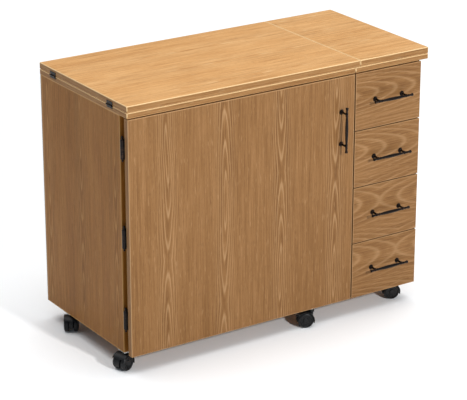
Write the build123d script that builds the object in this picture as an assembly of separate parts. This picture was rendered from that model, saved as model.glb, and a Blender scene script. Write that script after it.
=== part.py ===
from build123d import *
import math
import os

# Sewing cabinet on casters, closed for storage.  Millimetres, +Z up.
# Cabinet coordinates while building: x from the left end of the top, y from the front
# face of the door and drawer fronts, z from the floor.  The last step shifts every
# piece so that the origin is on the floor, below the middle of the whole cabinet.

# ---- driving dimensions -------------------------------------------------------------
TOP_WIDTH = 1016.0
TOP_DEPTH = 486.0
TOTAL_HEIGHT = 788.0
FLOOR_GAP = 55.0            # floor to the underside of the body

LEAF_THICK = 18.5           # upper layer of the top: the two folding leaves
WORKTOP_THICK = 16.0        # lower layer of the top
LAYER_GAP = 0.7             # felt-pad gap between the two layers
PANEL = 16.0                # carcass boards
FRONT_THICK = 18.0          # door and drawer fronts
BACK_THICK = 5.0
ARRIS = 2.0                 # eased edge of the leaves and worktop
FRONT_ARRIS = 1.2           # eased edge of the door and the drawer fronts

BODY_LEFT = 1.5             # outer face of the left side panel
BODY_RIGHT = 991.0          # outer face of the right side panel
DOOR_LEFT = 2.0
FRONT_GAP_X = 755.0         # middle of the gap between the door and the drawers
FRONT_GAP = 4.2
TOP_REVEAL = 3.5            # gap between the top and the door or first drawer
LEAF_SEAM_X = 771.0         # where the two folding leaves meet
SEAM_GAP = 0.8

CARCASS_FRONT = 21.0        # front edge of the carcass boards
SIDE_SETBACK = 42.0         # front edge of the left side panel, behind the hinge recess
STILE_LEFT = 14.0
STILE_WIDTH = 40.0
STILE_TOP_GAP = 10.0

MACHINE_X = 95.0            # cut-out in the worktop for the sewing machine
MACHINE_Y = 95.0
MACHINE_W = 590.0
MACHINE_D = 300.0
LIFT_TRAVEL = 309.0
PLATFORM_CLEARANCE = 3.0

DRAWERS = 4
DRAWER_GAP = 3.0
DRAWER_BOX_LENGTH = 400.0
DRAWER_BOX_HEIGHT = 120.0
DRAWER_WALL = 12.0
DRAWER_FLOOR = 6.0
RUNNER_SPACE = 12.7         # side space that a ball-bearing runner takes
RUNNER_LENGTH = 400.0
RUNNER_HEIGHT = 35.0

PULL_CENTRES = 96.0         # between the two posts of a pull
PULL_LENGTH = 136.0
PULL_REACH = 27.0           # front face to the middle of the bar

WHEEL_R = 23.0
WHEEL_WIDTH = 14.2
WHEEL_GAP = 13.4            # between the two wheels of a caster
CASTER_TRAIL = 18.0         # swivel axis to axle
AXLE_R = 3.0
KINGPIN_R = 3.5
RUNNING = 0.05              # radial clearance of a pin that turns in a hole
CLEAR = 0.3                 # gap between faces that move past each other

# ---- heights and places worked out from them ----------------------------------------
LEAF_BOTTOM = TOTAL_HEIGHT - LEAF_THICK
WORKTOP_TOP = LEAF_BOTTOM - LAYER_GAP
WORKTOP_BOTTOM = WORKTOP_TOP - WORKTOP_THICK
FRONT_TOP = WORKTOP_BOTTOM - TOP_REVEAL
FRONT_HEIGHT = FRONT_TOP - FLOOR_GAP
BACK_Y = TOP_DEPTH - BACK_THICK
FLOOR_BOARD_TOP = FLOOR_GAP + PANEL

DOOR_RIGHT = FRONT_GAP_X - FRONT_GAP / 2
DRAWER_LEFT = FRONT_GAP_X + FRONT_GAP / 2
DIVIDER_LEFT = FRONT_GAP_X - PANEL / 2
DIVIDER_RIGHT = FRONT_GAP_X + PANEL / 2
LEFT_INSIDE = BODY_LEFT + PANEL
RIGHT_INSIDE = BODY_RIGHT - PANEL

LEAF_HINGE_OUT = 2.2        # leaf hinge axis beyond the end of the top
LEAF_HINGE_Z = (LEAF_BOTTOM + WORKTOP_TOP) / 2
LEAF_HINGE_Y = (90.0, TOP_DEPTH - 80.0)
DOOR_HINGE_X = 1.0
DOOR_HINGE_Y = 28.0
DOOR_HINGE_Z = (FLOOR_GAP + 104.0, FLOOR_GAP + 346.0, FLOOR_GAP + 605.0)

DRAWER_HEIGHT = (FRONT_HEIGHT - (DRAWERS - 1) * DRAWER_GAP) / DRAWERS
PLATFORM_TOP = WORKTOP_TOP - 1.0 - LIFT_TRAVEL

# Swivel axis of each caster in plan, and the way its wheels trail at rest, in degrees.
CASTERS = {
    "front_left": (21.0, 60.0, 200.0),
    "front_right": (956.0, 44.0, 162.0),
    "rear_left": (21.0, 378.0, 237.0),
    "rear_right": (956.0, 378.0, 200.0),
    "door": (617.0, FRONT_THICK / 2, 155.0),
}

nodes = {}


# ---- helpers ------------------------------------------------------------------------
def board(x0, x1, y0, y1, z0, z1):
    """A rectangular board between two corners."""
    size = Box(x1 - x0, y1 - y0, z1 - z0)
    return Pos((x0 + x1) / 2, (y0 + y1) / 2, (z0 + z1) / 2) * size


def eased(piece, radius):
    """The same board with every edge rounded over."""
    return fillet(piece.edges(), radius)


def rod(x, y, z0, z1, radius):
    """An upright cylinder."""
    return Pos(x, y, (z0 + z1) / 2) * Cylinder(radius, z1 - z0)


def turned(points):
    """A turned piece about Z from its half outline: pairs of (radius, height)."""
    outline = Polyline(*[(r, 0, h) for r, h in points], close=True)
    return revolve(make_face(outline.edges()), Axis.Z, 360)


def add(name, *pieces):
    """Keep the pieces of one node; each stays a solid of its own."""
    solids = []
    for piece in pieces:
        solids.extend(piece.solids())
    nodes[name] = solids


# ---- carcass ------------------------------------------------------------------------
def pilot_holes(panel):
    """Drill the caster plates' screw holes into the underside of a board."""
    for name, (x, y, _) in CASTERS.items():
        if name != "door":
            for hole_x, hole_y in screw_places(x, y):
                panel -= rod(hole_x, hole_y, FLOOR_GAP, FLOOR_GAP + SCREW_DEPTH, SCREW_R)
    return panel


def screw_places(x, y):
    """The four screws of a caster plate."""
    return [(x + sx * SCREW_OFFSET, y + sy * SCREW_OFFSET) for sx in (-1, 1) for sy in (-1, 1)]


PLATE_SIZE = 38.0
PLATE_THICK = 2.5
SCREW_OFFSET = 14.0
SCREW_R = 1.9
SCREW_HEAD_R = 3.4
SCREW_HEAD = 1.8
SCREW_DEPTH = 12.0
RAIL_HEIGHT = 60.0


def carcass():
    left = board(BODY_LEFT, LEFT_INSIDE, SIDE_SETBACK, BACK_Y, FLOOR_GAP, WORKTOP_BOTTOM)
    add("left_side_panel", pilot_holes(left))
    add("right_side_panel", board(RIGHT_INSIDE, BODY_RIGHT, CARCASS_FRONT, BACK_Y,
                                  FLOOR_GAP, WORKTOP_BOTTOM))
    add("divider_panel", board(DIVIDER_LEFT, DIVIDER_RIGHT, CARCASS_FRONT, BACK_Y,
                               FLOOR_BOARD_TOP, WORKTOP_BOTTOM))
    floor = board(LEFT_INSIDE, RIGHT_INSIDE, CARCASS_FRONT, BACK_Y, FLOOR_GAP, FLOOR_BOARD_TOP)
    floor -= board(LEFT_INSIDE, STILE_LEFT + STILE_WIDTH, CARCASS_FRONT, SIDE_SETBACK,
                   FLOOR_GAP, FLOOR_BOARD_TOP)
    add("bottom_panel", pilot_holes(floor))
    add("back_panel", board(BODY_LEFT, BODY_RIGHT, BACK_Y, TOP_DEPTH, FLOOR_GAP, WORKTOP_BOTTOM))
    add("hinge_stile", board(STILE_LEFT, STILE_LEFT + STILE_WIDTH, CARCASS_FRONT, SIDE_SETBACK,
                             FLOOR_GAP, WORKTOP_BOTTOM - STILE_TOP_GAP))
    rail_low = WORKTOP_BOTTOM - RAIL_HEIGHT
    front_rail = board(LEFT_INSIDE, DIVIDER_LEFT, SIDE_SETBACK, SIDE_SETBACK + PANEL,
                       rail_low, WORKTOP_BOTTOM)
    back_rail = board(LEFT_INSIDE, DIVIDER_LEFT, BACK_Y - PANEL, BACK_Y, rail_low, WORKTOP_BOTTOM)
    add("top_rails", front_rail, back_rail)


def tops():
    half_seam = SEAM_GAP / 2
    seam = FRONT_GAP_X
    worktop = eased(board(0, seam - half_seam, 0, TOP_DEPTH, WORKTOP_BOTTOM, WORKTOP_TOP), ARRIS)
    opening = board(MACHINE_X, MACHINE_X + MACHINE_W, MACHINE_Y, MACHINE_Y + MACHINE_D,
                    WORKTOP_BOTTOM, WORKTOP_TOP)
    corner_radius = 12.0
    opening = fillet(opening.edges().filter_by(Axis.Z), corner_radius)
    add("worktop", worktop - opening)
    add("drawer_bank_top", eased(board(seam + half_seam, TOP_WIDTH, 0, TOP_DEPTH,
                                       WORKTOP_BOTTOM, WORKTOP_TOP), ARRIS))
    add("left_leaf", eased(board(0, LEAF_SEAM_X - half_seam, 0, TOP_DEPTH,
                                 LEAF_BOTTOM, TOTAL_HEIGHT), ARRIS))
    add("right_leaf", eased(board(LEAF_SEAM_X + half_seam, TOP_WIDTH, 0, TOP_DEPTH,
                                  LEAF_BOTTOM, TOTAL_HEIGHT), ARRIS))


# ---- folding-leaf hinges on the two ends of the top ---------------------------------
LEAF_HINGE_LENGTH = 30.0
LEAF_KNUCKLE_R = 2.2
LEAF_PIN_R = 1.2
LEAF_PLATE = 1.2
LEAF_PLATE_UP = 8.6         # height of the plate on the leaf
LEAF_PLATE_DOWN = 5.4       # height of the plate on the worktop


def leaf_hinge(axis_x, face_x, y):
    """One small butt hinge: its fixed half with the pin, and its moving half."""
    segment = (LEAF_HINGE_LENGTH - 2 * CLEAR) / 3
    starts = [y - LEAF_HINGE_LENGTH / 2 + i * (segment + CLEAR) for i in range(3)]
    outer_x = face_x - LEAF_PLATE if axis_x < face_x else face_x + LEAF_PLATE
    x0, x1 = min(face_x, outer_x), max(face_x, outer_x)
    step = LEAF_KNUCKLE_R + 0.25

    def plate(z0, z1, y0, y1):
        return board(x0, x1, y0, y1, z0, z1)

    def knuckle(y0, bore):
        ring = Cylinder(LEAF_KNUCKLE_R, segment) - Cylinder(bore, segment)
        return Pos(axis_x, y0 + segment / 2, LEAF_HINGE_Z) * Rot(90, 0, 0) * ring

    first, last = y - LEAF_HINGE_LENGTH / 2, y + LEAF_HINGE_LENGTH / 2
    moving = plate(LEAF_HINGE_Z + step, LEAF_HINGE_Z + step + LEAF_PLATE_UP, first, last)
    moving += plate(LEAF_HINGE_Z + LEAF_PIN_R + 0.4, LEAF_HINGE_Z + step,
                    starts[1], starts[1] + segment)
    moving += knuckle(starts[1], LEAF_PIN_R + RUNNING)
    fixed = plate(LEAF_HINGE_Z - step - LEAF_PLATE_DOWN, LEAF_HINGE_Z - step, first, last)
    for y0 in (starts[0], starts[2]):
        fixed += plate(LEAF_HINGE_Z - step, LEAF_HINGE_Z - LEAF_PIN_R - 0.4, y0, y0 + segment)
        fixed += knuckle(y0, LEAF_PIN_R)
    pin = Pos(axis_x, y, LEAF_HINGE_Z) * Rot(90, 0, 0) * Cylinder(LEAF_PIN_R, LEAF_HINGE_LENGTH)
    return fixed, pin, moving


def leaf_hinges():
    fixed_halves = []
    ends = (("left", -LEAF_HINGE_OUT, 0.0), ("right", TOP_WIDTH + LEAF_HINGE_OUT, TOP_WIDTH))
    for side, axis_x, face_x in ends:
        moving_halves = []
        for y in LEAF_HINGE_Y:
            fixed, pin, moving = leaf_hinge(axis_x, face_x, y)
            fixed_halves += [fixed, pin]
            moving_halves.append(moving)
        add(side + "_leaf_hinge_plates", *moving_halves)
    add("top_hinge_plates", *fixed_halves)


# ---- door and its three finial hinges -----------------------------------------------
BARREL_R = 6.5
BARREL_LENGTH = 52.0
HINGE_PIN_R = 3.0
HINGE_PLATE = 2.0
DOOR_PLATE_WIDTH = 29.0
HINGE_WEB = 3.0
SOCKET_R = 5.5
SOCKET_DEPTH = 36.0


def door_hinge(z):
    """Frame half, pin with finials, and door half of one barrel hinge."""
    x, y = DOOR_HINGE_X, DOOR_HINGE_Y
    segment = (BARREL_LENGTH - 2 * CLEAR) / 3
    low = z - BARREL_LENGTH / 2
    spans = [(low + i * (segment + CLEAR), low + i * (segment + CLEAR) + segment) for i in range(3)]

    def knuckle(z0, z1, bore):
        return rod(x, y, z0, z1, BARREL_R) - rod(x, y, z0, z1, bore)

    frame = board(STILE_LEFT - HINGE_PLATE, STILE_LEFT, CARCASS_FRONT + 1, SIDE_SETBACK - 1,
                  low, low + BARREL_LENGTH)
    for z0, z1 in (spans[0], spans[2]):
        web = board(x + HINGE_PIN_R + 1, STILE_LEFT - HINGE_PLATE,
                    y - HINGE_WEB / 2, y + HINGE_WEB / 2, z0, z1)
        frame += web + knuckle(z0, z1, HINGE_PIN_R)
    z0, z1 = spans[1]
    door = board(x, x + DOOR_PLATE_WIDTH, FRONT_THICK, FRONT_THICK + HINGE_PLATE,
                 low, low + BARREL_LENGTH)
    door += board(x, x + HINGE_WEB, FRONT_THICK, y - HINGE_PIN_R - 1, z0, z1)
    door += knuckle(z0, z1, HINGE_PIN_R + RUNNING)
    top, bottom = z + BARREL_LENGTH / 2, low
    pin = turned([(0, bottom - 10), (1.6, bottom - 9.4), (2.9, bottom - 7), (2.9, bottom - 5.5),
                  (2.0, bottom - 4), (4.8, bottom - 2), (5.6, bottom), (HINGE_PIN_R, bottom),
                  (HINGE_PIN_R, top), (5.6, top), (4.8, top + 2.5), (2.2, top + 4.5),
                  (3.4, top + 7), (3.2, top + 9.5), (1.8, top + 12), (0, top + 13)])
    return frame, Pos(x, y, 0) * pin, door


def door():
    panel = eased(board(DOOR_LEFT, DOOR_RIGHT, 0, FRONT_THICK, FLOOR_GAP, FRONT_TOP), FRONT_ARRIS)
    caster_x, caster_y, _ = CASTERS["door"]
    panel -= rod(caster_x, caster_y, FLOOR_GAP, FLOOR_GAP + SOCKET_DEPTH, SOCKET_R)
    add("door_panel", panel)
    frames, pins, plates = [], [], []
    for z in DOOR_HINGE_Z:
        frame, pin, plate = door_hinge(z)
        frames.append(frame)
        pins.append(pin)
        plates.append(plate)
    add("stile_hinge_plates", *frames)
    add("door_hinge_pins", *pins)
    add("door_hinge_plates", *plates)
    flange = rod(caster_x, caster_y, FLOOR_GAP - 1.2, FLOOR_GAP, 8.5)
    sleeve = rod(caster_x, caster_y, FLOOR_GAP, FLOOR_GAP + SOCKET_DEPTH, SOCKET_R)
    bore = rod(caster_x, caster_y, FLOOR_GAP - 2, FLOOR_GAP + SOCKET_DEPTH - 1.5,
               KINGPIN_R + RUNNING)
    add("door_caster_socket", flange + sleeve - bore)


CATCH_Z = 640.0


def door_catch():
    """Magnetic catch on the divider, and the steel strike on the back of the door."""
    x1 = DIVIDER_LEFT
    add("door_catch", board(x1 - 14, x1, CARCASS_FRONT, CARCASS_FRONT + 20, CATCH_Z - 24, CATCH_Z + 24))
    strike = board(x1 - 14, x1 - 1, FRONT_THICK, FRONT_THICK + 1.6, CATCH_Z - 20, CATCH_Z + 20)
    add("door_strike_plate", strike)


# ---- pulls --------------------------------------------------------------------------
def pull(place):
    """A turned bar along X on two posts that stand on a front; three separate castings."""
    half, post = PULL_LENGTH / 2, PULL_CENTRES / 2
    swell = [(0, 4.7), (post * 0.5, 4.2), (post * 0.84, 3.0), (post, 3.7), (post + 5, 2.8),
             (half - 5, 4.3), (half - 1.2, 4.5)]
    curve = Spline(*[(x, r) for x, r in swell], tangents=((1, 0), (1, 0)))
    end = Polyline((half - 1.2, 4.5), (half, 3.4), (half, 0), (0, 0), (0, 4.7))
    quarter = revolve(make_face(curve.edges() + end.edges()), Axis.X, 360)
    bar = quarter + mirror(quarter, Plane.YZ)
    bar = Pos(0, -PULL_REACH, 0) * bar
    pieces = [place * bar]
    stand = turned([(0, 0), (7.5, 0), (7.5, 1.4), (5.6, 3.0), (3.6, 6.0), (2.9, 12.0),
                    (2.9, PULL_REACH), (0, PULL_REACH)])
    for side in (-1, 1):
        pieces.append(place * (Pos(side * post, 0, 0) * Rot(90, 0, 0) * stand - bar))
    return pieces


DOOR_PULL_X = DOOR_RIGHT - 46.0
DOOR_PULL_Z = FLOOR_GAP + 542.0
DRAWER_PULL_X = (DRAWER_LEFT + BODY_RIGHT) / 2


# ---- drawers ------------------------------------------------------------------------
BOX_LEFT = DIVIDER_RIGHT + RUNNER_SPACE
BOX_RIGHT = RIGHT_INSIDE - RUNNER_SPACE
BOX_FRONT = FRONT_THICK
BOX_BACK = BOX_FRONT + DRAWER_BOX_LENGTH
BOX_RISE = 22.0             # bottom of a drawer box above the bottom of its front
RUNNER_SHEET = 1.2
RUNNER_FLANGE = 8.0
RUNNER_NEST = 3.0           # ball space between the two members


def drawer_front_bottom(number):
    """Number 1 is the top drawer."""
    return FRONT_TOP - number * DRAWER_HEIGHT - (number - 1) * DRAWER_GAP


def channel(height, wall_x, toward, y0, z):
    """A runner member: a thin web against a wall, with two flanges facing away from it."""
    web_x = sorted((wall_x, wall_x + toward * RUNNER_SHEET))
    flange_x = sorted((wall_x, wall_x + toward * (RUNNER_SHEET + RUNNER_FLANGE)))
    y1 = y0 + RUNNER_LENGTH
    low, high = z - height / 2, z + height / 2
    member = board(*web_x, y0, y1, low, high)
    member += board(*flange_x, y0, y1, low, low + RUNNER_SHEET)
    member += board(*flange_x, y0, y1, high - RUNNER_SHEET, high)
    return member


def drawers():
    cabinet_members = []
    for number in range(1, DRAWERS + 1):
        name = "drawer_%d_" % number
        low = drawer_front_bottom(number)
        add(name + "front", eased(board(DRAWER_LEFT, BODY_RIGHT, 0, FRONT_THICK,
                                        low, low + DRAWER_HEIGHT), FRONT_ARRIS))
        z0 = low + BOX_RISE
        z1 = z0 + DRAWER_BOX_HEIGHT
        inner_left, inner_right = BOX_LEFT + DRAWER_WALL, BOX_RIGHT - DRAWER_WALL
        sides = [board(BOX_LEFT, inner_left, BOX_FRONT, BOX_BACK, z0, z1),
                 board(inner_right, BOX_RIGHT, BOX_FRONT, BOX_BACK, z0, z1)]
        ends = [board(inner_left, inner_right, y, y + DRAWER_WALL, z0, z1)
                for y in (BOX_FRONT, BOX_BACK - DRAWER_WALL)]
        floor = board(inner_left, inner_right, BOX_FRONT + DRAWER_WALL, BOX_BACK - DRAWER_WALL,
                      z0, z0 + DRAWER_FLOOR)
        add(name + "box", *sides, *ends, floor)
        middle = low + DRAWER_HEIGHT / 2
        add(name + "pull", *pull(Pos(DRAWER_PULL_X, 0, middle)))
        runner_z = z0 + RUNNER_HEIGHT / 2 + 8
        inner_height = RUNNER_HEIGHT - 2 * (RUNNER_SHEET + RUNNER_NEST)
        add(name + "runners", channel(inner_height, BOX_LEFT, -1, BOX_FRONT + 4, runner_z),
            channel(inner_height, BOX_RIGHT, 1, BOX_FRONT + 4, runner_z))
        start = CARCASS_FRONT + 4
        cabinet_members += [channel(RUNNER_HEIGHT, DIVIDER_RIGHT, 1, start, runner_z),
                            channel(RUNNER_HEIGHT, RIGHT_INSIDE, -1, start, runner_z)]
    add("cabinet_runners", *cabinet_members)


# ---- machine lift -------------------------------------------------------------------
RAIL_Y = MACHINE_Y + MACHINE_D / 2
GUIDE_WIDTH = 34.0
GUIDE_DEPTH = 12.0
GUIDE_SHEET = 2.0
BEAM = 20.0
SPRING_R = 11.0
SPRING_TOP = PLATFORM_TOP - PANEL - BEAM - 10.0
PISTON_R = 8.5
SPRING_ROD_R = 4.0
SPRING_ROD_LENGTH = 342.0


def guide_rail(wall_x, toward):
    """An upright channel on the wall with its slot facing the machine."""
    x_out = sorted((wall_x, wall_x + toward * GUIDE_DEPTH))
    slot = sorted((wall_x + toward * GUIDE_SHEET, wall_x + toward * (GUIDE_DEPTH + 1)))
    z0, z1 = FLOOR_BOARD_TOP, WORKTOP_BOTTOM
    rail = board(*x_out, RAIL_Y - GUIDE_WIDTH / 2, RAIL_Y + GUIDE_WIDTH / 2, z0, z1)
    inner = GUIDE_WIDTH / 2 - GUIDE_SHEET
    return rail - board(*slot, RAIL_Y - inner, RAIL_Y + inner, z0, z1)


def machine_lift():
    add("lift_guide_rails", guide_rail(LEFT_INSIDE, 1), guide_rail(DIVIDER_LEFT, -1))
    gap = PLATFORM_CLEARANCE
    platform_low = PLATFORM_TOP - PANEL
    platform = board(MACHINE_X + gap, MACHINE_X + MACHINE_W - gap,
                     MACHINE_Y + gap, MACHINE_Y + MACHINE_D - gap, platform_low, PLATFORM_TOP)
    add("machine_platform", fillet(platform.edges().filter_by(Axis.Z), 9.0))

    beam_low = platform_low - BEAM
    shoe = GUIDE_WIDTH / 2 - GUIDE_SHEET - CLEAR
    shoe_left = LEFT_INSIDE + GUIDE_SHEET + CLEAR
    shoe_right = DIVIDER_LEFT - GUIDE_SHEET - CLEAR
    carriage = [board(shoe_left, shoe_right, RAIL_Y - shoe, RAIL_Y + shoe, beam_low, platform_low)]
    arm_reach = MACHINE_D / 2 - 30.0
    for x in (MACHINE_X + 70.0, MACHINE_X + MACHINE_W - 70.0):
        for near, far in ((shoe, arm_reach), (-arm_reach, -shoe)):
            carriage.append(board(x - BEAM / 2, x + BEAM / 2, RAIL_Y + near, RAIL_Y + far,
                                  beam_low, platform_low))
    add("lift_carriage", *carriage)

    spring_x = MACHINE_X + MACHINE_W / 2
    tube = rod(spring_x, RAIL_Y, FLOOR_BOARD_TOP, SPRING_TOP, SPRING_R)
    tube -= rod(spring_x, RAIL_Y, FLOOR_BOARD_TOP + 4, SPRING_TOP - 12, PISTON_R + RUNNING)
    tube -= rod(spring_x, RAIL_Y, SPRING_TOP - 13, SPRING_TOP + 1, SPRING_ROD_R + RUNNING)
    add("gas_spring_cylinder", tube)
    rod_end = beam_low - SPRING_ROD_LENGTH
    spring_rod = rod(spring_x, RAIL_Y, rod_end, beam_low, SPRING_ROD_R)
    spring_rod += rod(spring_x, RAIL_Y, rod_end, rod_end + 8, PISTON_R)
    add("gas_spring_rod", spring_rod)


# ---- casters ------------------------------------------------------------------------
HOOD_R = 26.0
HOOD_SHEET = 1.9
HOOD_FROM = -18.0           # the hood's arc, in degrees from the swivel side
HOOD_TO = 146.0
NECK_R = 9.0
NECK_TOP = FLOOR_GAP - PLATE_THICK - CLEAR
WEB_HALF = WHEEL_GAP / 2 - 1.0
BOSS_R = WHEEL_GAP / 2 - CLEAR


def hood():
    """Central web, fender and stem boss; swivel axis on Z, wheels trailing along -X."""
    inner = HOOD_R - HOOD_SHEET
    sweep = HOOD_TO - HOOD_FROM
    half_width = WHEEL_GAP / 2 + WHEEL_WIDTH

    def at(radius, degrees):
        a = math.radians(degrees)
        return (-CASTER_TRAIL + radius * math.cos(a), WHEEL_R + radius * math.sin(a))

    axle = (-CASTER_TRAIL, WHEEL_R)
    arcs = [CenterArc(axle, HOOD_R, HOOD_FROM, sweep), CenterArc(axle, inner, HOOD_FROM, sweep)]
    ends = [Line(at(HOOD_R, a), at(inner, a)) for a in (HOOD_FROM, HOOD_TO)]
    band = make_face([c.edge() for c in arcs + ends])
    upright = Plane.XZ
    fender = extrude(upright * band, half_width, both=True)
    web = Pos(-CASTER_TRAIL, 0, WHEEL_R) * Rot(90, 0, 0) * Cylinder(HOOD_R - 0.5, 2 * WEB_HALF)
    web -= board(-60, 60, -30, 30, -10, WHEEL_R - 9)
    boss = rod(0, 0, WHEEL_R - 9, NECK_TOP, BOSS_R)
    neck = rod(0, 0, WHEEL_R + HOOD_R - 4, NECK_TOP, NECK_R)
    neck -= Pos(-CASTER_TRAIL, 0, WHEEL_R) * Rot(90, 0, 0) * Cylinder(inner, 2 * NECK_R + 2)
    body = fender + web + boss + neck
    body -= Pos(-CASTER_TRAIL, 0, WHEEL_R) * Rot(90, 0, 0) * Cylinder(AXLE_R, 60)
    return body - rod(0, 0, KINGPIN_LOW, NECK_TOP + 1, KINGPIN_R)


KINGPIN_LOW = 17.0
KINGPIN_TOP = FLOOR_GAP - CLEAR
STEM_TOP = FLOOR_GAP + SOCKET_DEPTH - 3.0
AXLE_HALF = WHEEL_GAP / 2 + WHEEL_WIDTH - 3.0


def wheel(side):
    """One wheel: rounded tread, a dished outer face and a hub cap."""
    near = WHEEL_GAP / 2
    far = near + WHEEL_WIDTH
    bore = AXLE_R + RUNNING
    cap = 1.2
    outline = [(bore, near), (WHEEL_R - 2.2, near), (WHEEL_R - 0.6, near + 1.2), (WHEEL_R, near + 3.4),
               (WHEEL_R, far - 4.0), (WHEEL_R - 1.2, far - 1.4), (WHEEL_R - 3.6, far),
               (WHEEL_R - 5.2, far), (WHEEL_R - 6.4, far - 1.8), (9.0, far - 1.8), (8.0, far - 0.3),
               (4.5, far), (0, far), (0, far - cap), (bore, far - cap)]
    disc = turned(outline)
    return Pos(-CASTER_TRAIL, 0, WHEEL_R) * Rot(-90 * side, 0, 0) * disc


def casters():
    plates = []
    for name, (x, y, heading) in CASTERS.items():
        place = Pos(x, y, 0) * Rot(0, 0, heading - 180)
        top = STEM_TOP if name == "door" else KINGPIN_TOP
        kingpin = rod(0, 0, KINGPIN_LOW, top, KINGPIN_R)
        axle = Pos(-CASTER_TRAIL, 0, WHEEL_R) * Rot(90, 0, 0) * Cylinder(AXLE_R, 2 * AXLE_HALF)
        add("caster_%s_hood" % name, place * hood())
        add("caster_%s_pins" % name, place * kingpin, place * axle)
        add("caster_%s_wheels" % name, place * wheel(1), place * wheel(-1))
        if name != "door":
            low = FLOOR_GAP - PLATE_THICK
            half = PLATE_SIZE / 2
            plate = board(x - half, x + half, y - half, y + half, low, FLOOR_GAP)
            plate = fillet(plate.edges().filter_by(Axis.Z), 4.0)
            plate -= rod(x, y, low, FLOOR_GAP, KINGPIN_R + RUNNING)
            for hole_x, hole_y in screw_places(x, y):
                plate -= rod(hole_x, hole_y, low, FLOOR_GAP, SCREW_R)
                shank = rod(hole_x, hole_y, low, FLOOR_GAP + SCREW_DEPTH, SCREW_R)
                head = rod(hole_x, hole_y, low - SCREW_HEAD, low, SCREW_HEAD_R)
                plates.append(shank + head)
            plates.append(plate)
    add("caster_plates", *plates)


def build():
    carcass()
    tops()
    leaf_hinges()
    door()
    door_catch()
    add("door_pull", *pull(Pos(DOOR_PULL_X, 0, DOOR_PULL_Z) * Rot(0, 90, 0)))
    drawers()
    machine_lift()
    casters()


build()
box = Compound([piece for pieces in nodes.values() for piece in pieces]).bounding_box()
SHIFT_X = -round(box.center().X, 2)
SHIFT_Y = -round(box.center().Y, 2)
print("origin shift", SHIFT_X, SHIFT_Y, "lowest point", round(box.min.Z, 3))
print("size", [round(v, 1) for v in box.size])

os.makedirs("parts", exist_ok=True)
for node, pieces in nodes.items():
    moved = [Pos(SHIFT_X, SHIFT_Y, 0) * piece for piece in pieces]
    export_step(moved[0] if len(moved) == 1 else Compound(moved), "parts/%s.step" % node)
print(len(nodes), "nodes")
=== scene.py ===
# %% [markdown]
# A closed sewing cabinet on casters.  The CAD frame already holds every board, hinge,
# runner and caster at its real place, so this lesson is about looks: oak laminate whose
# grain runs the way each board was cut, dark bronze hardware with rubbed patches, moulded
# casters, and a pale studio around it.  Everything is in metres, in the CAD's own frame.

import math

import bmesh
import bpy
from mathutils import Matrix, Vector


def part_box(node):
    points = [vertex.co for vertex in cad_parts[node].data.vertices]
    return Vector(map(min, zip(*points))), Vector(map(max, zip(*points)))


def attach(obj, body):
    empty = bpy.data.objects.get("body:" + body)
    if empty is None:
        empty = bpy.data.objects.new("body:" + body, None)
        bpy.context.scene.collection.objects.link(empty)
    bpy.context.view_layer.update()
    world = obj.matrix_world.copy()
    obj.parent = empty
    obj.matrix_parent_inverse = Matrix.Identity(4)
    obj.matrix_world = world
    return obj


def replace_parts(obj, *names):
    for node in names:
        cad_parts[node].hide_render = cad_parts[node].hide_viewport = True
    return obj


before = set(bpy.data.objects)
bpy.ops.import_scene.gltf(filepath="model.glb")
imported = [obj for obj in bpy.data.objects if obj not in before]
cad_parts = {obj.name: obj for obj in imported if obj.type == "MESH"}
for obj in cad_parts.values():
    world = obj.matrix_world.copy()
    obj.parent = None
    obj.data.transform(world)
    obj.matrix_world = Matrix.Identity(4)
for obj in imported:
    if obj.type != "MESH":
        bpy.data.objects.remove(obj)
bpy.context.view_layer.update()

# %% [markdown]
# Shader arithmetic reads best as plain Python.  A Wire is one output of a node; adding
# or multiplying wires adds the Math nodes.  A Finish is one material: its single node
# method makes any other node from a type, its settings and the values of its sockets.

# %% Wires: shader maths as expressions
class Wire:
    """One output of a shader node, with arithmetic that adds Math nodes."""

    def __init__(self, finish, socket):
        self.finish = finish
        self.socket = socket

    def math(self, operation, *values):
        inputs = dict(enumerate([self, *values]))
        return self.finish.node("ShaderNodeMath", inputs, operation=operation)

    def reflected(self, operation, value):
        return self.finish.node("ShaderNodeMath", {0: value, 1: self}, operation=operation)

    def __add__(self, other):
        return self.math("ADD", other)

    def __radd__(self, other):
        return self.math("ADD", other)

    def __sub__(self, other):
        return self.math("SUBTRACT", other)

    def __rsub__(self, other):
        return self.reflected("SUBTRACT", other)

    def __mul__(self, other):
        return self.math("MULTIPLY", other)

    def __truediv__(self, other):
        return self.math("DIVIDE", other)

    def __abs__(self):
        return self.math("ABSOLUTE")

    def low(self, other):
        return self.math("MINIMUM", other)

    def high(self, other):
        return self.math("MAXIMUM", other)

    def ramp(self, start, end, to_start=0.0, to_end=1.0):
        """A smooth step from start to end."""
        values = {"Value": self, "From Min": start, "From Max": end,
                  "To Min": to_start, "To Max": to_end}
        return self.finish.node("ShaderNodeMapRange", values, interpolation_type="SMOOTHSTEP")

    def between(self, a, b):
        """a where this wire is 0, b where it is 1."""
        return self * (b - a) + a


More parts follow.
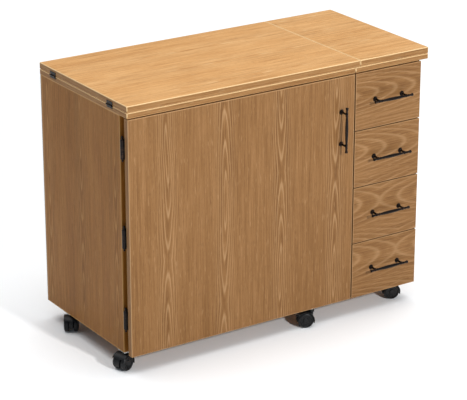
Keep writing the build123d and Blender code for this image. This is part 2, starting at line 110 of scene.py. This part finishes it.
class Finish:
    """One material, and the one method that adds nodes to it."""

    def __init__(self, name, colour, roughness=0.5, metallic=0.0):
        self.material = bpy.data.materials.new(name)
        self.material.use_nodes = True
        self.tree = self.material.node_tree
        self.surface = self.tree.nodes["Principled BSDF"]
        self.surface.inputs["Base Color"].default_value = (*colour, 1.0)
        self.surface.inputs["Roughness"].default_value = roughness
        self.surface.inputs["Metallic"].default_value = metallic
        self.material.diffuse_color = (*colour, 1.0)

    def node(self, kind, inputs=None, output=0, stops=None, **settings):
        made = self.tree.nodes.new(kind)
        for key, value in settings.items():
            setattr(made, key, value)
        if stops:
            ramp = made.color_ramp
            while len(ramp.elements) < len(stops):
                ramp.elements.new(0.5)
            for element, (place, colour) in zip(ramp.elements, stops):
                element.position = place
                element.color = (*colour, 1.0)
        for key, value in (inputs or {}).items():
            if isinstance(value, Wire):
                self.tree.links.new(value.socket, made.inputs[key])
            else:
                made.inputs[key].default_value = value
        return Wire(self, made.outputs[output])

    def drive(self, socket, wire):
        """Feed one input of the surface."""
        self.tree.links.new(wire.socket, self.surface.inputs[socket])

    def place(self):
        """Object coordinates, as the three wires x, y and z."""
        point = self.node("ShaderNodeTexCoord", output=3)
        return [self.node("ShaderNodeSeparateXYZ", {0: point}, output=i) for i in range(3)]

    def vector(self, x, y, z):
        return self.node("ShaderNodeCombineXYZ", {0: x, 1: y, 2: z})

    def noise(self, vector, scale=1.0, detail=2.0, roughness=0.5, distortion=0.0):
        values = {"Vector": vector, "Scale": scale, "Detail": detail,
                  "Roughness": roughness, "Distortion": distortion}
        return self.node("ShaderNodeTexNoise", values)

    def mix(self, factor, a, b, blend="MIX"):
        """Mix two colours; a and b are colours or wires."""
        made = {"Factor": factor, 6: a if isinstance(a, Wire) else (*a, 1.0),
                7: b if isinstance(b, Wire) else (*b, 1.0)}
        return self.node("ShaderNodeMix", made, output=2, data_type="RGBA", blend_type=blend)

    def relief(self, height, strength, distance):
        values = {"Height": height, "Strength": strength, "Distance": distance}
        self.drive("Normal", self.node("ShaderNodeBump", values))


# %% [markdown]
# Oak laminate.  The printed figure of plain-sawn oak is a cut through growth rings: each
# ring is a very long cone round the log's heart, and a flat cut through cones gives the
# slim nested arches and eyes that joiners call cathedrals.  So the finish measures the
# distance from a heart line in each strip of veneer, squeezed hard along the grain, and
# turns it into rings whose pale edges show.  Between the strips the grain is straight:
# long soft streaks, fine lines, short dark pores and pale rays.  Where a board's edge is
# eased, the finish is painted paler: partly rubbed wear, as on real laminate, and partly a
# painted highlight along the arris, kept faint on the lower edges of the top boards.

# %% The oak finish
def oak(name, node, along, across, tones, seed, strip=0.19, figure=1.0, rub_and_highlight=0.8, lean=0.065,
        ring=0.0062, spread=0.30, band=0.0042, shade=1.0, painted_edge_shade=1.0, under=1.0, reach=0.62,
        contrast=1.7):
    """Oak for one board: along and across are the axes (0 to 2) of the grain and the width.

    In metres: strip is the width of one strip of veneer, ring the spacing of the rings,
    reach the length of one cathedral and band the width of the pale edge.  lean squeezes
    the cathedrals, spread widens them, and figure says how strongly they show.
    rub_and_highlight is how pale the edges are painted, partly rubbed wear and partly painted
    highlight, under the same for the lower half, painted_edge_shade darkens the upright edges
    with painted shade, shade darkens the whole board with painted shade, and contrast deepens
    the fine grain.
    """
    light, middle, dark, pale = tones
    finish = Finish(name, middle, 0.42)
    low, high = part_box(node)
    centre = (low + high) / 2
    half = (high - low) / 2
    thick = 3 - along - across
    axes = finish.place()
    local = [axes[i] - centre[i] for i in range(3)]

    # How far a point lies in from each pair of faces; on a face, that face's own is the least.
    inward = [half[i] - abs(local[i]) for i in range(3)]

    # The banded edges carry their own straight grain: along the band, never across it.
    blend = 0.0002
    end = (inward[across].low(inward[thick]) - inward[along]).ramp(-blend, blend)
    edge = (inward[along].low(inward[thick]) - inward[across]).ramp(-blend, blend)
    u = end.between(local[along], local[across]) + seed * 3.17
    v = end.between(edge.between(local[across], local[thick]), local[thick]) + seed * 1.31
    flat = 1.0 - end.high(edge)

    drift = finish.noise(finish.vector(u * 1.9, v * 3.0, seed), 1.0, 2.0) - 0.5
    wander = finish.noise(finish.vector(u * 9.0, v * 16.0, seed + 4.0), 1.0, 3.0) - 0.5
    bent = v + drift * 0.022 + wander * 0.0045
    strip_place = bent / strip
    number = strip_place.math("FLOOR")
    from_heart = (strip_place - number - 0.5) * strip
    chance = finish.node("ShaderNodeTexWhiteNoise", {"W": number + seed * 7.0}, noise_dimensions="1D")
    climb = ((u + chance * 1.8 * reach) / reach).math("FRACT") - 0.5
    distance = (from_heart * from_heart + climb * climb * (reach * lean) ** 2).math("SQRT")
    phase = (distance / ring + wander * 0.35).math("FRACT")
    pale_line = phase.ramp(0.56, 0.82) * (1.0 - phase.ramp(0.84, 1.0))
    brown_line = phase.ramp(0.0, 0.10) * (1.0 - phase.ramp(0.12, 0.55))
    beside = abs(from_heart) / (strip / 2)
    shown = (1.0 - beside.ramp(spread * 0.35, spread * 1.7)) * flat * figure

    streak = finish.noise(finish.vector(u * 1.5, v * 55.0, seed + 1.0), 1.0, 3.0, 0.55)
    fine = finish.noise(finish.vector(u * 7.0, v * 330.0, seed + 2.0), 1.0, 3.0, 0.6)
    pore = finish.noise(finish.vector(u * 60.0, v * 1100.0, seed + 3.0), 1.0, 2.0, 0.5)
    cloud = finish.noise(finish.vector(u * 2.4, v * 7.0, seed + 5.0), 1.0, 2.0)
    ray = finish.noise(finish.vector(u * 30.0, v * 300.0, seed + 6.0), 1.0, 1.0)

    depth = (0.46 + (streak - 0.5) * 0.75 + (fine - 0.5) * contrast + (cloud - 0.5) * 0.45
             + brown_line * shown * 0.22)
    tone = depth.high(0.0).low(1.0)
    base = finish.node("ShaderNodeValToRGB", {0: tone}, stops=[(0.0, light), (0.48, middle), (1.0, dark)])
    pores = pore.ramp(0.58, 0.70) * 0.8
    base = finish.mix(pores * 0.55, base, tuple(0.55 * c for c in dark))
    base = finish.mix(ray.ramp(0.62, 0.76) * 0.30, base, pale)
    base = finish.mix(pale_line * shown * 0.48, base, pale)

    # The middle one of the three distances is small at an arris, where two faces meet.
    a, b, c = inward
    arris = a.low(b).high(a.high(b).low(c))
    # Paler along each arris: partly rubbed wear, partly a painted highlight, kept fainter on the lower half
    # of the board.
    lower_half = (local[thick] / half[thick]).ramp(-0.2, -0.7)
    wear_and_highlight = arris.ramp(band, band / 3.0) * rub_and_highlight * lower_half.between(1.0, under)
    base = finish.mix(wear_and_highlight, base, pale)
    # Painted shade: the whole board is darkened.
    if shade != 1.0:
        base = finish.mix(1.0, base, (shade, shade, shade), "MULTIPLY")
    # Painted shade: the upright edge faces are darkened and browned toward the tone of the fronts.
    if painted_edge_shade != 1.0:
        around = end.high(edge) * (1.0 - wear_and_highlight)
        edge_shade_colour = (painted_edge_shade, painted_edge_shade * 0.95, painted_edge_shade * 0.9)
        base = finish.mix(around, base, finish.mix(1.0, base, edge_shade_colour, "MULTIPLY"))
    finish.drive("Base Color", base)

    finish.drive("Roughness", 0.44 + pores * 0.16 + (cloud - 0.5) * 0.14 - wear_and_highlight * 0.05)
    finish.surface.inputs["Specular IOR Level"].default_value = 0.12
    finish.relief(fine * 0.4 - pores, 0.22, 0.00025)
    return finish.material


# %% [markdown]
# Three mixes of the same oak: the top is painted far lighter than the door and drawer fronts
# and the carcass boards, as painted light where it faces the overhead light.  The fronts are
# browner and the carcass boards quieter.  The colours run from the palest earlywood to the pore lines.

# %% Oak tones
# The top tones are painted lighter than the front and panel tones: painted light on the top.
TOP_TONES = ((0.735, 0.420, 0.173), (0.614, 0.316, 0.113), (0.400, 0.182, 0.053), (0.837, 0.614, 0.337))
FRONT_TONES = ((0.293, 0.150, 0.059), (0.227, 0.109, 0.037), (0.148, 0.065, 0.020), (0.440, 0.267, 0.131))
PANEL_TONES = ((0.326, 0.140, 0.027), (0.251, 0.099, 0.015), (0.157, 0.057, 0.007), (0.440, 0.237, 0.075))


def dress(node, material):
    """Give a CAD node its finish, in every material slot it has."""
    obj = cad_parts[node]
    for slot in obj.material_slots:
        slot.material = material
    if not obj.material_slots:
        obj.data.materials.append(material)


X, Y, Z = 0, 1, 2
DRAWERS = range(1, 5)
TOP_FIGURE = {"figure": 0.6, "strip": 0.15, "lean": 0.05, "spread": 0.5, "band": 0.0030,
              "painted_edge_shade": 0.46, "under": 0.25, "contrast": 2.5}
dress("left_leaf", oak("oak_left_leaf", "left_leaf", X, Y, TOP_TONES, 1.0, **TOP_FIGURE))
dress("right_leaf", oak("oak_right_leaf", "right_leaf", X, Y, TOP_TONES, 2.3, **TOP_FIGURE))
dress("worktop", oak("oak_worktop", "worktop", X, Y, TOP_TONES, 3.7, **TOP_FIGURE))
dress("drawer_bank_top", oak("oak_bank_top", "drawer_bank_top", X, Y, TOP_TONES, 4.9, **TOP_FIGURE))
dress("door_panel", oak("oak_door", "door_panel", Z, X, FRONT_TONES, 5.2, rub_and_highlight=0.75, band=0.0028))
for number in DRAWERS:
    board = "drawer_%d_front" % number
    dress(board, oak("oak_" + board, board, X, Z, FRONT_TONES, 6.0 + 1.37 * number, strip=0.15,
                     lean=0.14, ring=0.0095, spread=0.9, figure=0.62, rub_and_highlight=0.55, band=0.0024, reach=1.2))
dress("left_side_panel", oak("oak_left_side", "left_side_panel", Z, Y, PANEL_TONES, 12.4, figure=0.85))
dress("right_side_panel", oak("oak_right_side", "right_side_panel", Z, Y, PANEL_TONES, 13.1))
dress("divider_panel", oak("oak_divider", "divider_panel", Z, Y, PANEL_TONES, 14.6, rub_and_highlight=0.3))
dress("bottom_panel", oak("oak_bottom", "bottom_panel", X, Y, PANEL_TONES, 15.2, rub_and_highlight=0.3))
# The stile sits back in the hinge recess behind the door; it is darkened with painted shade.
dress("hinge_stile", oak("oak_stile", "hinge_stile", Z, X, PANEL_TONES, 16.8, rub_and_highlight=0.3, figure=0.2, shade=0.8))
dress("top_rails", oak("oak_rails", "top_rails", X, Z, PANEL_TONES, 17.5, rub_and_highlight=0.0, figure=0.3))
dress("machine_platform", oak("oak_platform", "machine_platform", X, Y, TOP_TONES, 18.2, rub_and_highlight=0.6))
print("oak finishes:", len([m for m in bpy.data.materials if m.name.startswith("oak")]))

# %% [markdown]
# The back is printed hardboard and the drawer boxes are lacquered birch ply: both are
# flatter and plainer than the oak, so a simpler pair of streak layers is enough.

# %% Plain sheet woods
def plain_wood(name, colour, along, across, contrast=0.3, roughness=0.55):
    finish = Finish(name, colour, roughness)
    axes = finish.place()
    u, v, w = axes[along], axes[across], axes[3 - along - across]
    streak = finish.noise(finish.vector(u * 2.0, v * 45.0, w * 45.0), 1.0, 4.0, 0.6)
    fleck = finish.noise(finish.vector(u * 40.0, v * 700.0, w * 700.0), 1.0, 2.0)
    cloud = finish.noise(finish.vector(u * 3.0, v * 5.0, w * 5.0), 1.0, 2.0)
    tone = (streak.ramp(0.3, 0.7) * 0.6 + cloud * 0.4).low(1.0)
    darker = tuple(c * (1.0 - contrast) for c in colour)
    base = finish.mix(tone, darker, colour)
    base = finish.mix(fleck.ramp(0.62, 0.74) * 0.3, base, tuple(c * 0.5 for c in colour))
    finish.drive("Base Color", base)
    finish.drive("Roughness", roughness + (cloud - 0.5) * 0.2)
    finish.relief(fleck, 0.15, 0.0002)
    return finish.material


dress("back_panel", plain_wood("printed_hardboard", (0.30, 0.175, 0.085), Z, X))
birch = plain_wood("birch_ply", (0.62, 0.46, 0.27), Y, Z, 0.18, 0.45)
for number in DRAWERS:
    dress("drawer_%d_box" % number, birch)
print("sheet woods: printed_hardboard and birch_ply")

# %% [markdown]
# Metals and plastics.  The hardware is oil-rubbed bronze: nearly black, with patches of
# warm brown.  The runners are zinc plate, which is cloudy rather than mirror-like.  The
# casters are moulded nylon with a fine texture and a little dust.

# %% Metal and plastic finishes
def bronze(name):
    finish = Finish(name, (0.012, 0.009, 0.008), 0.34, 0.80)
    point = finish.vector(*finish.place())
    cloud = finish.noise(point, 160.0, 3.0)
    grit = finish.noise(point, 2200.0, 2.0)
    rubbed = finish.noise(point, 60.0, 2.0).ramp(0.52, 0.75)
    base = finish.mix(rubbed * 0.6, (0.011, 0.008, 0.007), (0.050, 0.026, 0.015))
    finish.drive("Base Color", base)
    finish.drive("Roughness", 0.30 + cloud * 0.16 - rubbed * 0.06)
    finish.relief(grit + cloud * 0.5, 0.12, 0.0002)
    return finish.material


def zinc(name, colour=(0.56, 0.56, 0.54)):
    finish = Finish(name, colour, 0.36, 1.0)
    axes = finish.place()
    brushed = finish.noise(finish.vector(axes[0] * 30.0, axes[1] * 12.0, axes[2] * 900.0), 1.0, 3.0)
    cloud = finish.noise(finish.vector(*axes), 70.0, 3.0)
    base = finish.mix(cloud, tuple(c * 0.72 for c in colour), colour)
    finish.drive("Base Color", base)
    finish.drive("Roughness", 0.26 + brushed * 0.22 + cloud * 0.10)
    finish.relief(brushed, 0.10, 0.0001)
    return finish.material


def moulded(name, colour, roughness, grain, wear=0.25):
    finish = Finish(name, colour, roughness)
    point = finish.vector(*finish.place())
    texture = finish.noise(point, grain, 2.0)
    dust = finish.noise(point, 45.0, 4.0, 0.6).ramp(0.48, 0.78)
    scuff = finish.noise(point, 260.0, 3.0, 0.7).ramp(0.58, 0.72)
    lighter = tuple(c * 2.0 + 0.006 for c in colour)
    base = finish.mix(dust * wear + scuff * wear * 0.6, colour, lighter)
    finish.drive("Base Color", base)
    finish.drive("Roughness", roughness + dust * 0.12 + (texture - 0.5) * 0.10)
    finish.surface.inputs["Specular IOR Level"].default_value = 0.32
    finish.relief(texture, 0.15, 0.0002)
    return finish.material


def powder_coat(name, colour):
    finish = Finish(name, colour, 0.42, 0.1)
    point = finish.vector(*finish.place())
    peel = finish.noise(point, 900.0, 2.0)
    cloud = finish.noise(point, 30.0, 2.0)
    darker = tuple(c * 0.8 for c in colour)
    lighter = tuple(c * 1.25 for c in colour)
    finish.drive("Base Color", finish.mix(cloud, darker, lighter))
    finish.drive("Roughness", 0.36 + cloud * 0.12)
    finish.relief(peel, 0.25, 0.0003)
    return finish.material


dark_bronze = bronze("dark_bronze")
zinc_plate = zinc("zinc_plate")
chrome_rod = zinc("ground_rod", (0.70, 0.70, 0.71))
nylon_hood = moulded("nylon_hood", (0.0030, 0.0030, 0.0035), 0.44, 1500.0)
nylon_wheel = moulded("nylon_wheel", (0.0040, 0.0040, 0.0045), 0.38, 1100.0, 0.35)
brown_plastic = moulded("brown_plastic", (0.12, 0.07, 0.035), 0.48, 1200.0)
black_coat = powder_coat("black_powder_coat", (0.018, 0.018, 0.019))

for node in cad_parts:
    if node.endswith(("_pull", "_hinge_plates", "hinge_pins")):
        dress(node, dark_bronze)
    elif node.endswith("_hood"):
        dress(node, nylon_hood)
    elif node.endswith("_wheels"):
        dress(node, nylon_wheel)
    elif node.endswith(("_pins", "_runners", "_plates", "_strike_plate", "_socket")):
        dress(node, zinc_plate)
dress("gas_spring_rod", chrome_rod)
dress("door_catch", brown_plastic)
for node in ("lift_carriage", "lift_guide_rails", "gas_spring_cylinder"):
    dress(node, black_coat)
bare = [name for name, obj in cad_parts.items()
        if not obj.material_slots or obj.material_slots[0].material is None]
print("nodes with no finish:", bare)

# %% [markdown]
# Turned and moulded pieces.  A lathe is a profile spun round an axis: the pulls, wheels,
# pads and nail heads all come from one.  Each piece is made in millimetres about its own
# axis, carried to its place by one matrix, and its mesh is left in the frame's metres.

# %% A small workshop: lathe, block, join and place
def lathe(profile, steps=40):
    """A solid of (radius, height) points in millimetres spun round Z."""
    work = bmesh.new()
    ring = [work.verts.new((radius, 0.0, height)) for radius, height in profile]
    line = [work.edges.new(pair) for pair in zip(ring, ring[1:])]
    bmesh.ops.spin(work, geom=ring + line, cent=(0, 0, 0), axis=(0, 0, 1),
                   angle=2.0 * math.pi, steps=steps, use_merge=True)
    bmesh.ops.remove_doubles(work, verts=work.verts, dist=1e-4)
    bmesh.ops.recalc_face_normals(work, faces=work.faces)
    return work


def block(x, y, z, bevel=0.0):
    """A box in millimetres about its own middle, its edges eased by bevel."""
    work = bmesh.new()
    bmesh.ops.create_cube(work, size=1.0)
    bmesh.ops.scale(work, vec=(x, y, z), verts=work.verts)
    if bevel:
        bmesh.ops.bevel(work, geom=list(work.edges), offset=bevel, offset_type="OFFSET", segments=2,
                        profile=0.5, affect="EDGES", material=-1, clamp_overlap=True)
    bmesh.ops.recalc_face_normals(work, faces=work.faces)
    return work


def join(pieces):
    """One bmesh from (bmesh, matrix) pairs."""
    whole = bmesh.new()
    for piece, matrix in pieces:
        moved = bpy.data.meshes.new("moved")
        piece.to_mesh(moved)
        moved.transform(matrix)
        whole.from_mesh(moved)
        bpy.data.meshes.remove(moved)
    return whole


MM = Matrix.Scale(0.001, 4)
SHARP_ANGLE = math.radians(38.0)        # edges sharper than this stay crisp


def make(name, work, matrix, material):
    """An object whose mesh is work carried by matrix, millimetres turned to metres."""
    mesh = bpy.data.meshes.new(name)
    work.to_mesh(mesh)
    mesh.transform(matrix @ MM)
    mesh.materials.append(material)
    mesh.shade_smooth()
    mesh.set_sharp_from_angle(angle=SHARP_ANGLE)
    obj = bpy.data.objects.new(name, mesh)
    bpy.context.collection.objects.link(obj)
    return obj


def centre_of(node):
    low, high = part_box(node)
    return (low + high) / 2


# %% [markdown]
# The pulls are turned spindles: a belly in the middle, thin necks with a bead on each
# side of the posts, and flared ends.  Each post grows from a stepped rosette.

# %% Pulls
PULL_REACH = 27.0           # the front to the middle of the bar, in millimetres
PULL_POST = 48.0            # the middle of the bar to each post


def spindle():
    """Half the bar's profile, from the belly to the end, mirrored to the whole bar."""
    half = [(4.70, 0.0), (4.66, 6.0), (4.52, 12.0), (4.28, 18.0), (3.95, 24.0), (3.55, 30.0),
            (3.15, 36.0), (2.95, 40.0), (2.95, 41.6), (3.85, 42.2), (4.05, 43.0), (3.85, 43.8),
            (3.10, 44.4), (3.35, 46.5), (3.45, 48.0), (3.35, 49.5), (3.00, 51.6), (3.75, 52.2),
            (3.90, 52.9), (3.75, 53.6), (2.90, 54.2), (2.85, 56.5), (3.20, 59.5), (3.80, 62.5),
            (4.35, 65.2), (4.50, 66.6), (4.20, 67.5), (3.40, 68.0), (0.0, 68.0)]
    return [(r, -z) for r, z in reversed(half)] + half[1:]


def pull_cast():
    """Bar along X on two posts; the front it stands on is the plane y = 0."""
    stand = lathe([(0, 0), (7.3, 0), (7.5, 0.3), (7.5, 1.1), (7.1, 1.5), (6.0, 1.6),
                   (5.8, 2.0), (5.6, 3.0), (5.0, 4.2), (4.0, 5.6), (3.3, 8.0), (2.95, 12.0),
                   (2.95, 19.0), (3.4, 21.4), (3.7, 22.6), (3.7, 23.6), (2.6, 24.4),
                   (2.6, 26.0), (0, 26.0)], 32)
    forward = Matrix.Rotation(math.pi / 2, 4, "X")
    sideways = Matrix.Rotation(math.pi / 2, 4, "Y")
    pieces = [(lathe(spindle(), 32), Matrix.Translation((0, -PULL_REACH, 0)) @ sideways)]
    for side in (-1, 1):
        pieces.append((stand, Matrix.Translation((side * PULL_POST, 0, 0)) @ forward))
    return join(pieces)


cast = pull_cast()
for number in DRAWERS:
    name = "drawer_%d_pull" % number
    place = centre_of(name)
    place.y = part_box(name)[1].y
    bar = make(name + "_cast", cast, Matrix.Translation(place), dark_bronze)
    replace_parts(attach(bar, "drawer_%d" % number), name)
place = centre_of("door_pull")
place.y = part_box("door_pull")[1].y
upright = Matrix.Translation(place) @ Matrix.Rotation(-math.pi / 2, 4, "Y")
bar = make("door_pull_cast", cast, upright, dark_bronze)
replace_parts(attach(bar, "door"), "door_pull")
print("pulls:", len(cast.faces), "faces each")

# %% [markdown]
# Each caster has two wheels on one axle.  A wheel is a rounded tread with two shallow
# grooves, a dished face stiffened by ribs, and a domed cap on its hub.

# %% Wheels
RIBS = 10                   # on each wheel's outer face


def wheel_pair():
    """Both wheels; the axle is along Y and its middle is the origin."""
    disc = lathe([(3.05, 6.7), (20.6, 6.7), (22.4, 7.9), (23.0, 9.6), (23.0, 11.6),
                  (22.6, 11.9), (22.6, 12.5), (23.0, 12.8), (23.0, 15.2), (22.6, 15.5),
                  (22.6, 16.1), (23.0, 16.4), (23.0, 17.4),
                  (22.4, 18.9), (21.2, 20.2), (19.6, 20.9), (18.0, 20.9), (17.2, 20.2), (16.6, 18.9),
                  (9.4, 18.7), (8.8, 19.4), (8.0, 20.5), (6.4, 20.8), (4.0, 20.9), (0, 20.9), (0, 19.7),
                  (3.05, 19.7), (3.05, 6.7)], 56)
    rib = block(7.2, 1.5, 1.7, 0.3)
    pieces = []
    for side in (-1, 1):
        outward = Matrix.Rotation(-side * math.pi / 2, 4, "X")
        pieces.append((disc, outward))
        for turn in range(RIBS):
            around = Matrix.Rotation(math.radians(360 / RIBS * turn), 4, "Z")
            spoke = around @ Matrix.Translation((13.0, 0, 19.1))
            pieces.append((rib, outward @ spoke))
    return join(pieces)


HEADINGS = {"front_left": 200.0, "front_right": 162.0, "rear_left": 237.0, "rear_right": 200.0, "door": 155.0}
pair = wheel_pair()
for name, heading in HEADINGS.items():
    node = "caster_%s_wheels" % name
    turn = Matrix.Rotation(math.radians(heading - 180.0), 4, "Z")
    place = Matrix.Translation(centre_of(node)) @ turn
    wheels = make("caster_%s_treads" % name, pair, place, nylon_wheel)
    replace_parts(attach(wheels, node), node)
print("wheel pairs:", len(HEADINGS), "of", len(pair.faces), "faces")

# %% [markdown]
# Small fixings.  Felt pads keep the folded leaves off the worktop, and the back board is
# pinned round its edge with flat nails.

# %% Pads and nails
felt = moulded("brown_felt", (0.085, 0.048, 0.026), 0.92, 2600.0, 0.2)
pad = lathe([(0, 0), (6.0, 0), (6.2, 0.2), (6.0, 0.5), (0, 0.55)], 24)
PAD_INSET = 0.030           # the pads' middles in from the front, back and seam
PAD_END = 0.035             # and in from the two ends of the top
low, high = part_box("worktop")
pads = []
for x in (low.x + PAD_END, (low.x + high.x) / 2, high.x - PAD_INSET):
    for y in (low.y + PAD_INSET, high.y - PAD_INSET):
        pads.append((pad, Matrix.Translation(Vector((x, y, high.z)) * 1000)))
low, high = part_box("drawer_bank_top")
for y in (low.y + PAD_INSET, high.y - PAD_INSET):
    pads.append((pad, Matrix.Translation(Vector((high.x - PAD_END, y, high.z)) * 1000)))
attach(make("felt_pads", join(pads), Matrix.Identity(4), felt), "cabinet")

nail = lathe([(0, -1.0), (0.8, -1.0), (0.8, 0), (2.3, 0), (2.4, 0.15), (2.0, 0.4), (0, 0.5)], 16)
low, high = [corner * 1000 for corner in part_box("back_panel")]
inset = 8.0
gaps_across, gaps_up = 8, 6
places = []
for step in range(gaps_across + 1):
    x = low.x + inset + (high.x - low.x - 2 * inset) * step / gaps_across
    places += [(x, low.z + inset), (x, high.z - inset)]
for step in range(1, gaps_up):
    z = low.z + inset + (high.z - low.z - 2 * inset) * step / gaps_up
    places += [(low.x + inset, z), (high.x - inset, z)]
into_back = Matrix.Rotation(-math.pi / 2, 4, "X")
nails = [(nail, Matrix.Translation((x, high.y - 0.45, z)) @ into_back) for x, z in places]
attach(make("back_nails", join(nails), Matrix.Identity(4), zinc_plate), "cabinet")
print("pads:", len(pads), "nails:", len(nails))

# %% [markdown]
# The studio: a wide white floor that stands for the sweep of paper under the cabinet.  A
# very soft light from straight above makes the top the brightest face and leaves a grey
# contact shadow; a smaller lamp in front, well above the top, throws the pulls' shadows
# on the door.  The left side gets only what the room gives back.

# %% Floor, lights and world
def white_floor():
    grid = bmesh.new()
    bmesh.ops.create_grid(grid, x_segments=1, y_segments=1, size=30.0)
    mesh = bpy.data.meshes.new("paper_floor")
    grid.to_mesh(mesh)
    grid.free()
    floor = bpy.data.objects.new("paper_floor", mesh)
    bpy.context.collection.objects.link(floor)
    paper = Finish("white_paper", (0.94, 0.94, 0.95), 0.9)
    point = paper.vector(*paper.place())
    fibre = paper.noise(point, 350.0, 3.0)
    paper.drive("Base Color", paper.mix(fibre, (0.93, 0.935, 0.945), (0.95, 0.955, 0.96)))
    paper.surface.inputs["Specular IOR Level"].default_value = 0.1
    mesh.materials.append(paper.material)


def lamp(name, kind, place, energy, **settings):
    """A light at a place, aimed at the middle of the cabinet."""
    data = bpy.data.lights.new(name, kind)
    data.energy = energy
    for key, value in settings.items():
        setattr(data, key, value)
    stand = bpy.data.objects.new(name, data)
    stand.location = place
    aim = Vector((0.0, 0.0, 0.45)) - Vector(place)
    stand.rotation_euler = aim.to_track_quat("-Z", "Y").to_euler()
    bpy.context.collection.objects.link(stand)


white_floor()
lamp("overhead", "SUN", (0.25, 0.5, 4.0), 2.66, angle=math.radians(70.0), color=(1.0, 0.985, 0.965))
lamp("front", "AREA", (0.15, -4.3, 2.35), 140.0, shape="DISK", size=0.32)

world = bpy.data.worlds.new("studio")
world.use_nodes = True
backdrop = world.node_tree.nodes["Background"]
backdrop.inputs["Color"].default_value = (0.80, 0.90, 1.0, 1.0)
backdrop.inputs["Strength"].default_value = 0.30
bpy.context.scene.world = world
bpy.context.scene.view_settings.view_transform = "Standard"
print("lights:", [light.name for light in bpy.data.lights], "world:", world.name)

# %% [markdown]
# The camera stands at the front left, 2.5 metres up, and looks down by about 21 degrees.
# A long lens keeps the uprights nearly parallel.

# %% Camera
def aim_camera(yaw, pitch, place, focal):
    data = bpy.data.cameras.new("camera")
    data.sensor_width = 36.0
    data.lens = focal
    camera = bpy.data.objects.new("camera", data)
    camera.location = place
    camera.rotation_euler = (math.pi / 2 - pitch, 0.0, -yaw)
    bpy.context.collection.objects.link(camera)
    bpy.context.scene.camera = camera


# The place is given from the floor below the front left corner of the top.
CAMERA_YAW = math.radians(33.301)
CAMERA_PITCH = math.radians(20.734)
CAMERA_FROM_CORNER = Vector((-2.6356, -4.5281, 2.5046))
LENS = 160.0188             # millimetres, on a 36 mm wide sensor
corner = Vector((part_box("worktop")[0].x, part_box("worktop")[0].y, 0.0))
aim_camera(CAMERA_YAW, CAMERA_PITCH, corner + CAMERA_FROM_CORNER, LENS)
print("camera at", [round(v, 3) for v in corner + CAMERA_FROM_CORNER], "lens", LENS)
